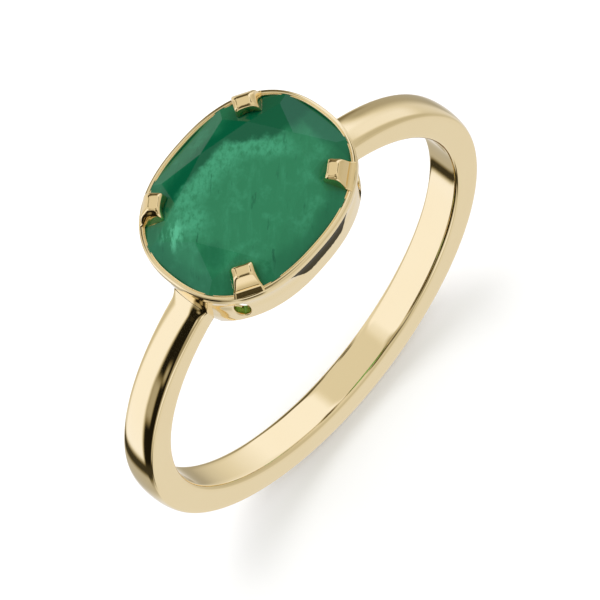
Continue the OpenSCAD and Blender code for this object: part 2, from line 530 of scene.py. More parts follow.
@dataclass(frozen=True)
class StoneFinish:
    """A clouded green gemstone under a glassy polish, with light and shade painted into its colour.

    Attributes:
        name: The material's name.
        body: Its main colour.
        deep: Its darker colour towards the edges, where it is painted as shade, and in its cracks.
        milky_and_glow: Its colour where it is clouded, and where light through it is painted.
        pale: Its colour where a crack in it catches the light.
        lit: Its colour underneath, where light comes through it.
        roughness: How far from a mirror it is.
        ior: Its refractive index.
        specular: How strongly it shines.
        grain: Direction of its grain, in degrees from X.
        back: How far back the painted shade behind the table starts.
        corner: How far towards its back right corner that painted shade starts.
        right: Where the painted shade at its right edge starts along X, and where it is full.
        lit_z: Heights where the light from below starts and where it is full.
        glow: Middle and radius of the clouded patch at its left, painted lighter as light through the stone.
        dim: Middle and radius of the patch of painted shade at its front left.
        feather: Middle and radius of the feathery inclusion.
        core: Middle and radius of the part inside the shade painted round its girdle.
    """

    name: str = "green_stone"
    body: Colour = (0.014, 0.150, 0.064, 1)
    deep: Colour = (0.0005, 0.074, 0.030, 1)
    milky_and_glow: Colour = (0.038, 0.250, 0.128, 1)
    pale: Colour = (0.070, 0.36, 0.20, 1)
    lit: Colour = (0.22, 0.56, 0.20, 1)
    roughness: float = 0.04
    ior: float = 1.58
    specular: float = 0.22
    grain: float = 38.0
    back: float = 1.8
    corner: float = 2.15
    right: Pair = (3.3, 3.75)
    lit_z: Pair = (11.1, 10.6)
    glow: Point = (-2.4, 0.8, 1.1)
    dim: Point = (-3.0, -0.9, 0.8)
    feather: Point = (-3.1, 1.0, 0.9)
    core: Point = (0.0, 0.0, 3.9)

    def build(self) -> bpy.types.Material:
        """Makes the material."""
        material, book, skin = new_material(self.name)
        place = book.add("ShaderNodeTexCoord").outputs["Object"]
        wander = self.noise(book, place, 0.9, 4, (1, 1, 1))
        split = book.add("ShaderNodeSeparateXYZ")
        book.link(place, split.inputs[0])
        shift = book.times(book.math("SUBTRACT", wander, 0.5), 0.9)
        x, y = (book.math("MULTIPLY_ADD", split.outputs[k], 1 / MM, shift) for k in (0, 1))
        towards_corner = book.math("MULTIPLY_ADD", y, 0.75, book.times(x, 0.8))
        past_back = book.math("SUBTRACT", y, self.back)
        past_corner = book.math("SUBTRACT", towards_corner, self.corner)
        edge = book.math("SMOOTH_MAX", past_back, past_corner, 0.4)
        # The clouds are the stone's own; the lighter zones with them are painted light.
        colour = book.mix(self.clouds_and_glow(book, place, wander, x, y, edge), self.body, self.milky_and_glow)
        # Painted shade behind the table, at the right edge, round the girdle and at the front left.
        colour = book.mix(self.shadows(book, x, y, edge), colour, self.deep)
        # Flecks in the feather painted pale, as its cracks catching the light.
        flecks = book.step(self.noise(book, place, 2.4, 8, (0.35, 1, 0.35)), 0.50, 0.64)
        colour = book.mix(book.times(flecks, self.spot(book, x, y, self.feather)), colour, self.pale)
        crazed = book.step(self.noise(book, place, 3.2, 9, (0.22, 1, 0.3)), 0.40, 0.31)
        cracks = book.times(crazed, book.math("MULTIPLY_ADD", book.step(x, 1.5, -1.5), 0.35, 0.4))
        colour = book.mix(cracks, colour, self.deep)
        below = book.step(split.outputs[2], *(z * MM for z in self.lit_z))
        book.link(book.mix(below, colour, self.lit), skin.inputs["Base Color"])
        skin.inputs["Roughness"].default_value = self.roughness
        skin.inputs["IOR"].default_value = self.ior
        skin.inputs["Specular IOR Level"].default_value = self.specular
        return material

    def clouds_and_glow(self, book: NodeBook, place: Socket, wander: Socket, x: Socket, y: Socket,
               edge: Socket) -> Socket:
        """Gives how milky the stone is, from 0 to 1: its clouds, plus painted light in a zone before the
        painted shade and in a patch at its left; edge is the distance past the shade's start.
        """
        glow = book.times(book.band(edge, (-1.2, -0.3), (0.3, 0.1)), book.band(x, (-3.0, -2.2), (3.0, 2.0)))
        streak = self.noise(book, place, 2.6, 6, (0.16, 1, 0.16))
        veil = book.times(book.step(streak, 0.48, 0.72), 0.35)
        cloud = book.times(book.step(wander, 0.48, 0.66), 0.45)
        mottle = book.step(self.noise(book, place, 5.5, 6, (0.7, 1, 0.7)), 0.25, 0.62)
        return book.times(book.most(glow, self.spot(book, x, y, self.glow), veil, cloud), mottle)

    def shadows(self, book: NodeBook, x: Socket, y: Socket, edge: Socket) -> Socket:
        """Gives how much painted shade the stone has, from 0 to 1: behind the table, at its right edge, round
        its girdle and at its front left; edge is the distance past the shade's start.
        """
        fade = book.math("MULTIPLY_ADD", book.step(y, 2.3, 3.0), -0.55, 1)
        zone = book.times(book.step(edge, -0.1, 0.3), book.step(x, -3.4, -1.9), fade, book.step(y, -0.4, 0.6))
        right = book.times(book.step(x, *self.right), 0.7)
        girdle = book.step(self.spot(book, book.times(x, 0.8), y, self.core), 0.30, 0.05)
        soft = book.times(book.most(self.spot(book, x, y, self.dim), girdle), 0.5)
        return book.most(zone, right, soft)

    def noise(self, book: NodeBook, place: Socket, scale: float, detail: float, stretch: Point) -> Socket:
        """Adds noise of so many lumps per millimetre, scaled along the grain, across it and up."""
        turned = book.add("ShaderNodeMapping", vector_type="TEXTURE")
        turned.inputs["Rotation"].default_value = (0, 0, math.radians(self.grain))
        squeezed = book.add("ShaderNodeMapping")
        squeezed.inputs["Scale"].default_value = stretch
        texture = book.add("ShaderNodeTexNoise", in_Scale=scale / MM, in_Detail=detail, in_Roughness=0.62)
        book.link(place, turned.inputs["Vector"])
        book.link(turned.outputs["Vector"], squeezed.inputs["Vector"])
        book.link(squeezed.outputs["Vector"], texture.inputs["Vector"])
        return texture.outputs["Fac"]

    def spot(self, book: NodeBook, x: Socket, y: Socket, patch: Point) -> Socket:
        """Adds a soft patch of (x, y, radius): 1 in its middle, falling to 0 at its edge."""
        middle_x, middle_y, radius = patch
        dx, dy = book.math("SUBTRACT", x, middle_x), book.math("SUBTRACT", y, middle_y)
        square = book.math("MULTIPLY_ADD", dx, dx, book.times(dy, dy))
        return book.step(book.math("SQRT", square), radius, radius * 0.25)


class Gold(Enum):
    """The gold finishes, one for each way that a piece was worked; the wall's and the rim's also carry
    painted shade under the rim.
    """

    BAND = GoldFinish("band_gold", hairlines=0.5, waviness=0.25)
    WALL = GoldFinish("wall_gold", roughness=0.08, waviness=0.9, painted_shade=1.0)
    RIM = GoldFinish("rim_gold", roughness=0.07, waviness=0.5, painted_shade=1.0)
    CLAW = GoldFinish("claw_gold", (0.97, 0.77, 0.41, 1), (0.95, 0.73, 0.37, 1), roughness=0.06, waviness=0.6)


def set_down(piece: bpy.types.Object, material: bpy.types.Material, node: str) -> None:
    """Dresses a finished piece, lets it ride on the ring and hides the CAD node that it stands for.

    Args:
        piece: The piece.
        material: What it is made of.
        node: The CAD node that it replaces.
    """
    piece.data.materials.clear()
    piece.data.materials.append(material)
    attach(piece, "root")
    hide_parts(node)
    log.info("%s: %d faces, in place of %s", piece.name, len(piece.data.polygons), node)


# --- the head ------------------------------------------------------------------------------------


@dataclass
class Collet:
    """The oval gallery wall: open underneath, pierced below each claw, and swept down to the band.

    Attributes:
        oval: The stone's outline.
        top_z: Height of its upper edge.
        lower_z: Height of its lower edge at front and back.
        finger_r: Radius of the finger hole, which trims its feet.
        wall: Thickness of the wall.
        side: Rows of (offset from the outline, height) down its outside.
        sweep_r: Radius of the sweep from the lower edge down to each foot.
        foot_half: Half of the width of a foot.
        window_half_w: Half of a window's width.
        window_half_h: Half of a window's height.
        window_z: Height of a window's middle.
        window_t: Outline parameter of a window's middle, in degrees.
        edge: Radius of its small rounded edges.
        columns: How many stations go round it.
        rows: How many strips go down it.
        gap_cols: Half of the width of the gap left for a window, in columns.
        gap_rows: That gap's first row and its last.
        params: The outline parameters of the stations, filled in by build.
    """

    oval: Oval
    top_z: float
    lower_z: float
    finger_r: float
    wall: float = 0.42
    side: tuple[Pair, ...] = ((0.05, 10.85), (-0.02, 10.45), (-0.04, 9.9), (-0.08, 9.3),
                              (-0.13, 8.7), (-0.26, 8.0), (-0.42, 7.4))
    sweep_r: float = 2.6
    foot_half: float = 0.85
    window_half_w: float = 0.33
    window_half_h: float = 0.68
    window_z: float = 9.92
    window_t: float = 40.0
    edge: float = 0.05
    columns: int = 480
    rows: int = 36
    gap_cols: int = 15
    gap_rows: tuple[int, int] = (3, 35)
    params: list[float] = field(default_factory=list)

    def at(self, station: float, z: float, depth: float) -> Point:
        """Gives the wall's point at a station in columns, a height and a depth, 0 outside and 1 inside."""
        k = math.floor(station)
        first = self.params[k % self.columns]
        second = self.params[(k + 1) % self.columns]
        if second < first:
            second += FULL_TURN
        t = first + (second - first) * (station - k)
        x, y = self.oval.point(t, along(self.side, z) - self.wall * depth)
        return x, y, z

    def lower_edge(self, station: float, depth: float) -> float:
        """Gives the height of the lower edge at a station and depth."""
        z = self.lower_z
        for _ in range(6):
            x, y, _ = self.at(station, z, depth)
            beyond = abs(y) - self.foot_half
            sweep = 0.0
            if beyond >= self.sweep_r:
                sweep = self.lower_z
            elif beyond > 0:
                fall = self.sweep_r**2 - (beyond - self.sweep_r) ** 2
                sweep = self.lower_z - self.sweep_r + math.sqrt(fall)
            z = max(sweep, math.sqrt(max(self.finger_r**2 - x * x, 0)))
        return z

    def window_stations(self) -> list[int]:
        """Gives the column in the middle of each window."""
        goal = math.radians(self.window_t)
        first = min(range(self.columns // 4), key=lambda i: abs(self.params[i] - goal))
        half = self.columns // 2
        return [first, half - first, half + first, self.columns - first]

    def in_gap(self, i: int, j: int, middles: Sequence[int]) -> bool:
        """Says whether a square of the wall's grid lies in a gap left for a window."""
        first, last = self.gap_rows
        return first <= j < last and any(m - self.gap_cols <= i < m + self.gap_cols for m in middles)

    def edge_turn(self) -> list[Pair]:
        """Gives the steps of a rounded edge as (depth, distance from the edge)."""
        angles = (math.pi / 2 * k / 4 for k in range(1, 5))
        return [(self.edge / self.wall * (1 - math.cos(a)), self.edge * (1 - math.sin(a))) for a in angles]

    def face_rows(self, plan: MeshPlan, bottom: Sequence[float], depth: float) -> list[list[int]]:
        """Adds the rows of the outside or the inside, from the top to just above the rounded lower edge."""
        grid = []
        for j in range(self.rows + 1):
            heights = [self.top_z + (low + self.edge - self.top_z) * j / self.rows for low in bottom]
            grid.append(plan.row([self.at(i, z, depth) for i, z in enumerate(heights)]))
        return grid

    def build(self) -> bpy.types.Object:
        """Makes the wall's mesh."""
        self.params = self.oval.stations(self.columns)
        plan = MeshPlan()
        bottoms = {d: [self.lower_edge(i, d) for i in range(self.columns)] for d in (0.0, 1.0)}
        grids = {d: self.face_rows(plan, bottom, d) for d, bottom in bottoms.items()}
        middles = self.window_stations()
        for grid in grids.values():
            for j in range(self.rows):
                for i in range(self.columns):
                    if not self.in_gap(i, j, middles):
                        n = (i + 1) % self.columns
                        plan.faces.append((grid[j][i], grid[j][n], grid[j + 1][n], grid[j + 1][i]))
        for middle in middles:
            self.pierce(plan, grids, middle)
        turn = self.edge_turn()
        lower = [grids[0.0][-1]]
        for depth, lift in turn + [(1 - d, z) for d, z in reversed(turn)]:
            near = [out * (1 - depth) + back * depth for out, back in zip(*bottoms.values())]
            lower.append(plan.row([self.at(i, z + lift, depth) for i, z in enumerate(near)]))
        lower.append(grids[1.0][-1])
        for first, second in zip(lower, lower[1:]):
            plan.bridge(first, second)
        plan.bridge(grids[0.0][0], grids[1.0][0])
        return plan.build("gallery_collet", crease=50)

    def pierce(self, plan: MeshPlan, grids: dict[float, list[list[int]]], middle: int) -> None:
        """Fills the gap left for a window with rings that close in on it, and lines its hole.

        Args:
            plan: The mesh being made.
            grids: The wall's rows of point numbers, by depth.
            middle: The window's middle column.
        """
        spacing = math.dist(self.at(0, self.top_z, 0), self.at(1, self.top_z, 0))
        half_cols, (top_row, end_row) = self.gap_cols, self.gap_rows
        left, right = middle - half_cols, middle + half_cols
        border = [(i, top_row) for i in range(left, right)]
        border += [(right, j) for j in range(top_row, end_row)]
        border += [(i, end_row) for i in range(right, left, -1)]
        border += [(left, j) for j in range(end_row, top_row, -1)]
        z_top = plan.points[grids[0.0][top_row][middle]][2]
        z_end = plan.points[grids[0.0][end_row][middle]][2]
        half_h, mid_z = (z_top - z_end) / 2, (z_top + z_end) / 2
        rims = []
        for i, j in border:
            z = plan.points[grids[0.0][j][i % self.columns]][2]
            rims.append((float(i - middle), z, math.atan2((z - mid_z) / half_h, (i - middle) / half_cols)))

        def loop(grow: float, depth: float, out: float) -> list[int]:
            """Adds a loop grown from the hole's edge, moved by out of the way to the gap's border."""
            points = []
            for i, z, angle in rims:
                hole_i = (self.window_half_w + grow) * math.cos(angle) / spacing
                hole_z = self.window_z + (self.window_half_h + grow) * math.sin(angle)
                station = middle + hole_i + (i - hole_i) * out
                points.append(self.at(station, hole_z + (z - hole_z) * out, depth))
            return plan.row(points)

        shares = (0.75, 0.5, 0.28, 0.12, 0.0)
        outer = [loop(self.edge, 0.0, u) for u in shares]
        inner = [loop(self.edge, 1.0, u) for u in shares]
        turn = self.edge_turn()
        lining = [loop(g, d, 0.0) for d, g in turn] + [loop(g, 1 - d, 0.0) for d, g in reversed(turn)]
        first = [grids[0.0][j][i % self.columns] for i, j in border]
        last = [grids[1.0][j][i % self.columns] for i, j in border]
        chain = [first] + outer + lining + list(reversed(inner)) + [last]
        for one, two in zip(chain, chain[1:]):
            plan.bridge(one, two)


@dataclass
class Rim:
    """The thin frame round the girdle: an outer band, a fine groove and an inner edge turned over the stone.

    Attributes:
        oval: The stone's outline.
        low_z: Height of its underside.
        top_z: Height of its top.
        thick: Its thickness outside the outline.
        lap: How far it is turned in over the stone.
        columns: How many stations go round it.
    """

    oval: Oval
    low_z: float
    top_z: float
    thick: float
    lap: float
    columns: int = 480

    def section(self) -> list[Pair]:
        """Gives the closed section as points of (offset from the outline, height)."""
        t, top, step = self.thick, self.top_z, self.low_z + 0.24
        corners = [(0.0, self.low_z), (0.055, self.low_z), (0.06, step - 0.04), (t - 0.02, step),
                   (t, step + 0.06), (t, top - 0.02), (0.022, top), (0.004, top - 0.04),
                   (-0.014, top - 0.004),
                   (-0.04, top), (-self.lap, top - 0.05), (-self.lap + 0.01, top - 0.08), (0.0, top - 0.14)]
        radii = [0, 0, 0.03, 0.03, 0.03, 0.1, 0.014, 0.008, 0.01, 0.03, 0.02, 0.01, 0]
        return rounded(corners, radii, 4)

    def build(self) -> bpy.types.Object:
        """Makes the rim's mesh."""
        params = self.oval.stations(self.columns)
        plan = MeshPlan()
        rows = [plan.row([(*self.oval.point(t, d), z) for t in params]) for d, z in self.section()]
        for first, second in zip(rows, rows[1:] + rows[:1]):
            plan.bridge(first, second)
        return plan.build("girdle_rim", crease=60)


@dataclass(frozen=True)
class Facet:
    """A flat cut: the plane through a point, with the outward direction that it faces."""

    point: Point
    normal: Vector

    def height(self, x: float, y: float) -> float:
        """Gives the plane's height over a point of the plan."""
        px, py, pz = self.point
        return pz - (self.normal.x * (x - px) + self.normal.y * (y - py)) / self.normal.z


@dataclass
class Stone:
    """The oval stone, cut plane by plane as a lapidary cuts it.

    Attributes:
        oval: Its outline.
        girdle_z: Height of the girdle's underside.
        crown_z: Height of the girdle's upper edge.
        table_z: Height of the table.
        culet_z: Height of its lowest point.
        table_share: Size of the table as a share of the outline.
        star_lean: Lean of a star facet as a share of the main facet's.
        steep: Slope of the facets just below the girdle.
        steep_share: Where those facets end, as a share of the outline.
    """

    oval: Oval
    girdle_z: float
    crown_z: float
    table_z: float
    culet_z: float
    table_share: float = 0.66
    star_lean: float = 0.62
    steep: float = 0.9
    steep_share: float = 0.72

    def plane(self, point: Point, azimuth: float, tilt: float) -> Facet:
        """Makes a facet through a point, facing azimuth in plan and leaning by tilt from straight up."""
        lean = math.sin(tilt)
        return Facet(point, Vector((lean * math.cos(azimuth), lean * math.sin(azimuth), math.cos(tilt))))

    def crown(self) -> list[Facet]:
        """Lists the eight main facets and the eight star facets round the table."""
        facets = []
        for k in range(8):
            t = k * math.pi / 4
            main = math.atan((self.table_z - self.crown_z) / ((1 - self.table_share) * self.oval.reach(t)))
            here, after = self.oval.point(t), self.oval.point(t + math.pi / 4)
            facets.append(self.plane((*here, self.crown_z), self.oval.facing(t), main))
            dx = self.table_share * (after[0] - here[0])
            dy = self.table_share * (after[1] - here[1])
            corner = (self.table_share * here[0], self.table_share * here[1], self.table_z)
            facets.append(self.plane(corner, math.atan2(-dx, dy), main * self.star_lean))
        return facets

    def pavilion(self) -> list[Facet]:
        """Lists the sixteen facets below the girdle and the eight that meet at the culet."""
        facets = []
        for k in range(16):
            t = k * math.pi / 8
            facets.append(self.plane((*self.oval.point(t), self.girdle_z), self.oval.facing(t),
                                     math.pi - math.atan(self.steep)))
        for k in range(8):
            t = k * math.pi / 4
            drop = self.girdle_z - self.steep * (1 - self.steep_share) * self.oval.reach(t) - self.culet_z
            slope = drop / (self.steep_share * self.oval.reach(t))
            culet = (0.0, 0.0, self.culet_z)
            facets.append(self.plane(culet, self.oval.facing(t), math.pi - math.atan(slope)))
        return facets

    def top(self, x: float, y: float) -> float:
        """Gives the height of the crown over a point of the plan."""
        return min([self.table_z] + [f.height(x, y) for f in self.crown()])

    def build(self) -> bpy.types.Object:
        """Cuts the stone out of an oval block."""
        params = self.oval.stations(160)
        plan = MeshPlan()
        low = plan.row([(*self.oval.point(t), self.culet_z - 0.5) for t in params])
        high = plan.row([(*self.oval.point(t), self.table_z) for t in params])
        plan.bridge(low, high)
        plan.faces += [tuple(low), tuple(high)]
        obj = plan.build("oval_stone", crease=1)
        cut = bmesh.new()
        cut.from_mesh(obj.data)
        for facet in self.crown() + self.pavilion():
            geometry = list(cut.verts) + list(cut.edges) + list(cut.faces)
            made = bmesh.ops.bisect_plane(cut, geom=geometry, dist=1e-9, clear_outer=True,
                                          plane_co=Vector(facet.point) * MM, plane_no=facet.normal)
            edges = [e for e in made["geom_cut"] if isinstance(e, bmesh.types.BMEdge)]
            bmesh.ops.contextual_create(cut, geom=edges)
        bmesh.ops.dissolve_degenerate(cut, edges=cut.edges, dist=1e-4 * MM)
        bmesh.ops.recalc_face_normals(cut, faces=cut.faces)
        cut.to_mesh(obj.data)
        cut.free()
        obj.data.shade_flat()
        return obj


@dataclass
class Claw:
    """A chunky square claw that stands on the rim and hooks over the stone.

    Attributes:
        name: Its name.
        stone: The stone that it holds.
        rim_t: How far the rim stands outside the outline.
        rim_z: Height of the rim's top.
        top_z: Height of its small flat top.
        side_x: -1 for the left shoulder and 1 for the right one.
        side_y: -1 for the front and 1 for the back.
        foot_t: Outline parameter of its foot, in degrees.
        lean: How far its middle lies along the rim from the foot's own place.
        bulge: How far its outer face swells half way up.
        LEVELS: Rows of share of height, outer face, inner end, outer and inner half width, and scoop.
        RINGS: Shares of the height at which the mesh has a ring of points, close together near the top.
        CLOSING: Sizes of the rings that close its top and its underside, as shares of the outermost.
        MIDDLE_U: Where those rings close in on.
        CAP_RISE: How far the middle of its top stands up.
        RIM_SHARE: How far out, as a share of the outline, it starts to stand on the rim.
        OVERLAP: How far it sinks into what it stands on, so that no gap shows.
    """

    name: str
    stone: Stone
    rim_t: float
    rim_z: float
    top_z: float
    side_x: int
    side_y: int
    foot_t: float = 49.6
    lean: float = 0.06
    bulge: float = 0.0

    LEVELS: ClassVar[tuple[tuple[float, ...], ...]] = (
        (1.00, -0.565, -0.95, 0.285, 0.285, 0.00), (0.985, -0.535, -0.97, 0.325, 0.32, 0.00),
        (0.96, -0.508, -0.99, 0.365, 0.355, 0.00), (0.93, -0.49, -1.01, 0.405, 0.39, 0.00),
        (0.88, -0.472, -1.035, 0.45, 0.43, 0.00),
        (0.75, -0.43, -1.08, 0.49, 0.465, 0.03), (0.5, -0.36, -1.14, 0.53, 0.49, 0.09),
        (0.26, -0.30, -1.18, 0.575, 0.50, 0.14), (0.14, -0.27, -1.20, 0.605, 0.50, 0.16),
        (0.10, -0.22, -1.20, 0.615, 0.50, 0.17), (0.05, -0.14, -1.19, 0.63, 0.50, 0.18),
        (0.00, -0.07, -1.18, 0.65, 0.50, 0.18))
    RINGS: ClassVar[tuple[float, ...]] = (
        0, 0.025, 0.05, 0.075, 0.10, 0.12, 0.14, 0.17, 0.21, 0.26, 0.34, 0.42, 0.5, 0.61, 0.72, 0.8, 0.84,
        0.88, 0.905, 0.93, 0.945, 0.96, 0.9725, 0.985, 0.9925, 1.0)
    CLOSING: ClassVar[tuple[float, ...]] = (0.75, 0.5, 0.25)
    MIDDLE_U: ClassVar[float] = -0.76
    CAP_RISE: ClassVar[float] = 0.004
    RIM_SHARE: ClassVar[float] = 0.985
    OVERLAP: ClassVar[float] = 0.01

    def outline(self, level: float) -> list[Pair]:
        """Gives the claw's outline at a share of its height.

        Args:
            level: 0 at the foot and 1 at the top.

        Returns:
            Points of (u, v), where u runs outwards from the foot and v along the rim.
        """
        values = [along([(row[k], row[0]) for row in self.LEVELS], level) for k in range(1, 6)]
        out, reach, half_out, half_in, scoop = values
        out += 4 * self.bulge * level * (1 - level)
        ease = 0.07 + 0.09 * level
        lean = self.lean * (0.4 + 1.3 * level)
        corners = [(out, lean - half_out), (out, lean + half_out), (reach, lean + half_in),
                   (reach + scoop, lean), (reach, lean - half_in)]
        return self.spread(rounded(corners, [ease, ease, ease * 0.9, 0.35, ease * 0.9], 6))

    def spread(self, points: Sequence[Pair], count: int = 96) -> list[Pair]:
        """Spaces points evenly by length round a closed outline, starting at its first point."""
        closed = [*points, points[0]]
        result = []
        for k, share in even_places(lengths(closed), count):
            (u0, v0), (u1, v1) = closed[k], closed[k + 1]
            result.append((u0 + (u1 - u0) * share, v0 + (v1 - v0) * share))
        return result

    def place(self, u: float, v: float) -> Pair:
        """Turns claw coordinates into the plan of the ring."""
        foot_t = math.radians(self.foot_t)
        x, y = self.stone.oval.point(foot_t, self.rim_t)
        f = self.stone.oval.facing(foot_t)
        x += u * math.cos(f) - v * math.sin(f)
        y += u * math.sin(f) + v * math.cos(f)
        return x * self.side_x, y * self.side_y

    def seat(self, x: float, y: float) -> float:
        """Gives the height of what the claw stands on: the rim's top outside and the crown inside."""
        if self.stone.oval.share(x, y) > self.RIM_SHARE:
            return self.rim_z - self.OVERLAP
        return max(self.stone.top(x, y), self.rim_z - self.OVERLAP) - self.OVERLAP

    def close(self, plan: MeshPlan, loop: Sequence[int],
              height: Callable[[float, float, float], float]) -> None:
        """Fills a loop with rings that close in on the claw's middle.

        Args:
            plan: The mesh being made.
            loop: Numbers of the loop's points.
            height: Gives the height at an x and y and at a share of the way out to the loop.
        """
        mid_x, mid_y = self.place(self.MIDDLE_U, self.lean)
        last = loop
        for share in self.CLOSING:
            ring = []
            for i in loop:
                x = plan.points[i][0] * share + mid_x * (1 - share)
                y = plan.points[i][1] * share + mid_y * (1 - share)
                ring.append((x, y, height(x, y, share)))
            fresh = plan.row(ring)
            plan.bridge(last, fresh)
            last = fresh
        plan.cap(last, (mid_x, mid_y, height(mid_x, mid_y, 0.0)))

    def build(self) -> bpy.types.Object:
        """Makes the claw's mesh."""
        plan = MeshPlan()
        seats = [self.seat(*self.place(u, v)) for u, v in self.outline(0.0)]
        rows = []
        for level in self.RINGS:
            ring = [self.place(u, v) for u, v in self.outline(level)]
            rows.append(plan.row([(x, y, z0 + (self.top_z - z0) * level) for (x, y), z0 in zip(ring, seats)]))
        for first, second in zip(rows, rows[1:]):
            plan.bridge(first, second)
        self.close(plan, rows[-1], lambda x, y, share: self.top_z + self.CAP_RISE * (1 - share))
        self.close(plan, rows[0], lambda x, y, share: self.seat(x, y))
        return plan.build(self.name, crease=35)


# --- the band ------------------------------------------------------------------------------------


@dataclass
class Shank:
    """The band: flat sides, flat inside, low dome outside, and ends that meet the collet.

    Attributes:
        oval: The stone's outline.
        side: Rows of (offset, height) down the collet's outside, which the ends fit.
        finger_r: Radius of the finger hole.
        width: Width between the flat sides.
        side_r: Radius of the flat side's outer edge, about the outside's centre.
        dome: Height of the dome above that edge.
        heel: How far below the finger hole's centre the outside's centre lies.
        inner_bevel: Height of the softened inner edges.
        inner_width: Width of the softened inner edges.
        fillet: Height of the solder fillet at the collet.
        fillet_run: Length of that fillet along the band.
        ease: How far below the dome's edge the flat side ends.
        dome_span: How far the dome's arc runs to each side, in degrees.
        dome_share: Width of the dome as a share of the band's.
        bite: How far its ends reach into the collet's wall.
        turns: How many stations go round the band.
    """

    oval: Oval
    side: tuple[Pair, ...]
    finger_r: float
    width: float
    side_r: float
    dome: float
    heel: float
    inner_bevel: float = 0.14
    inner_width: float = 0.2
    fillet: float = 0.10
    fillet_run: float = 0.45
    ease: float = 0.03
    dome_span: float = 86.0
    dome_share: float = 0.995
    bite: float = 0.03
    turns: int = 420

    def section(self) -> list[tuple[float, float, bool]]:
        """Gives the closed section as points of (radius, y, whether the outside's centre is used)."""
        w, bevel, wide = self.width / 2, self.inner_bevel, self.inner_width
        low = self.finger_r + bevel
        flat = [(self.finger_r, (w - wide) * (k / 4 - 1), False) for k in range(9)]
        back = []
        for k in range(1, 9):
            a = math.pi / 2 * k / 8
            back.append((self.finger_r + bevel * (1 - math.cos(a)), w - wide + wide * math.sin(a), False))
        for k in range(1, 7):
            back.append((low + (self.side_r - self.ease - self.finger_r - bevel) * k / 6, w, True))
        dome = []
        for k in range(41):
            a = math.radians(self.dome_span - 2 * self.dome_span * k / 40)
            dome.append((self.side_r + self.dome * math.cos(a), w * math.sin(a) * self.dome_share, True))
        return flat + back + dome + [(r, -y, outside) for r, y, outside in reversed(back)]

    def radius(self, r: float, outside: bool, angle: float) -> float:
        """Gives a section point's distance from the finger hole's centre at an angle from the top."""
        if not outside:
            return r
        rise = r - self.finger_r - self.inner_bevel
        full = self.side_r - self.ease - self.finger_r - self.inner_bevel
        off = self.heel * min(max(rise / full, 0), 1)
        return -off * math.cos(angle) + math.sqrt(r * r - (off * math.sin(angle)) ** 2)

    def end_angle(self, r: float, y: float, outside: bool) -> float:
        """Finds the angle from the top at which a section point meets the collet."""
        low, high = 0.0, math.radians(75)
        for _ in range(40):
            mid = (low + high) / 2
            far = self.radius(r, outside, mid)
            x, z = far * math.sin(mid), far * math.cos(mid)
            if self.oval.share(x, y, along(self.side, z) - self.bite) < 1:
                low = mid
            else:
                high = mid
        return (low + high) / 2

    def build(self) -> bpy.types.Object:
        """Makes the band's mesh."""
        plan = MeshPlan()
        section = self.section()
        ends = [self.end_angle(*p) for p in section]
        rows = []
        for i in range(self.turns + 1):
            u = i / self.turns
            row = []
            for (r, y, outside), end in zip(section, ends):
                angle = end + (FULL_TURN - 2 * end) * u
                far = self.radius(r, outside, angle)
                gap = min(u, 1 - u) * (FULL_TURN - 2 * end) * far
                lift = self.fillet * max(0.0, 1 - gap / self.fillet_run) ** 2
                if outside and r > self.side_r:
                    far += lift
                wide = y * (1 + lift / (self.width / 2)) if outside else y
                row.append((far * math.sin(angle), wide, far * math.cos(angle)))
            rows.append(plan.row(row))
        for first, second in zip(rows, rows[1:]):
            plan.bridge(first, second)
        for row in (rows[0], rows[-1]):
            points = [Vector(plan.points[i]) for i in row]
            plan.cap(row, tuple(sum(points, Vector()) / len(points)))
        return plan.build("finger_band", crease=40)


# --- the studio ----------------------------------------------------------------------------------


@dataclass(frozen=True)
class Card:
    """A soft-edged sheet in the studio, given in degrees as seen from the ring.

    Attributes:
        azimuth: Direction of its middle, from the front towards the right.
        elevation: Height of its middle.
        half_width: Half of its width.
        half_height: Half of its height.
        level: Its brightness, where 1 is white paper.
        soft_width: Softness of its upright edges.
        soft_height: Softness of its level edges.
    """

    azimuth: float
    elevation: float
    half_width: float
    half_height: float
    level: float
    soft_width: float = 5.0
    soft_height: float = 6.0


CARDS = (
    Card(0, -70, 180, 18, 0.80, 5, 8),
    Card(0, -10, 95, 45, 0.62, 12, 14),
    Card(-125, -60, 45, 8, 0.50, 10, 5),
    Card(-150, 0, 34, 48, 0.80, 14, 8),
    Card(-151, -4, 7, 32, 0.62, 4, 6),
    Card(-123, 9, 16, 51, 1.08, 4, 6),
    Card(-86, -4, 20, 52, 0.01, 3, 6),
    Card(-62, -4, 6, 34, 0.32, 4, 8),
    Card(-54, 22, 12, 11, 0.32, 5, 5),
    Card(-38, -14, 18, 19, 0.95, 5, 6),
    Card(-100, -3, 6, 12, 0.42, 3, 5),
    Card(-88, 14, 5, 5, 0.38, 4, 4),
    Card(-38, 46, 9, 20, 0.05, 4, 4),
    Card(-92, -48, 64, 5, 0.04, 4, 3),
    Card(-40, -55, 14, 6, 0.04, 4, 4),
    Card(121, 36, 13, 34, 1.10, 5, 18),
    Card(101, 0, 10, 22, 0.95, 5, 8),
    Card(129, -25, 12, 30, 0.42, 5, 8),
    Card(143, 8, 13, 26, 0.22, 5, 5),
    Card(162, 24, 24, 12, 0.05, 5, 4),
    Card(72, -8, 14, 24, 0.56, 6, 6),
    Card(-40, 64, 30, 12, 0.10, 8, 5),
    Card(-110, 66, 22, 8, 0.35, 8, 4),
    Card(93, 61, 28, 6, 0.08, 6, 4),
    Card(-175, 50, 8, 9, 0.10, 4, 4),
    Card(149, 44, 13, 7, 0.10, 4, 4),
    Card(0, 90, 180, 9, 0.12, 5, 2.5),
)

# The room's colour by half of its level, since a ramp reads from 0 to 1. Dark cards are brownish and
# white ones bluish.
GRADE_SHARE = 0.5
GRADE = ((0.0, (0.0, 0.0, 0.0, 1)), (0.09, (0.20, 0.17, 0.10, 1)), (0.30, (0.60, 0.58, 0.54, 1)),
         (0.385, (0.78, 0.77, 0.77, 1)), (0.53, (1.02, 1.06, 1.28, 1)))


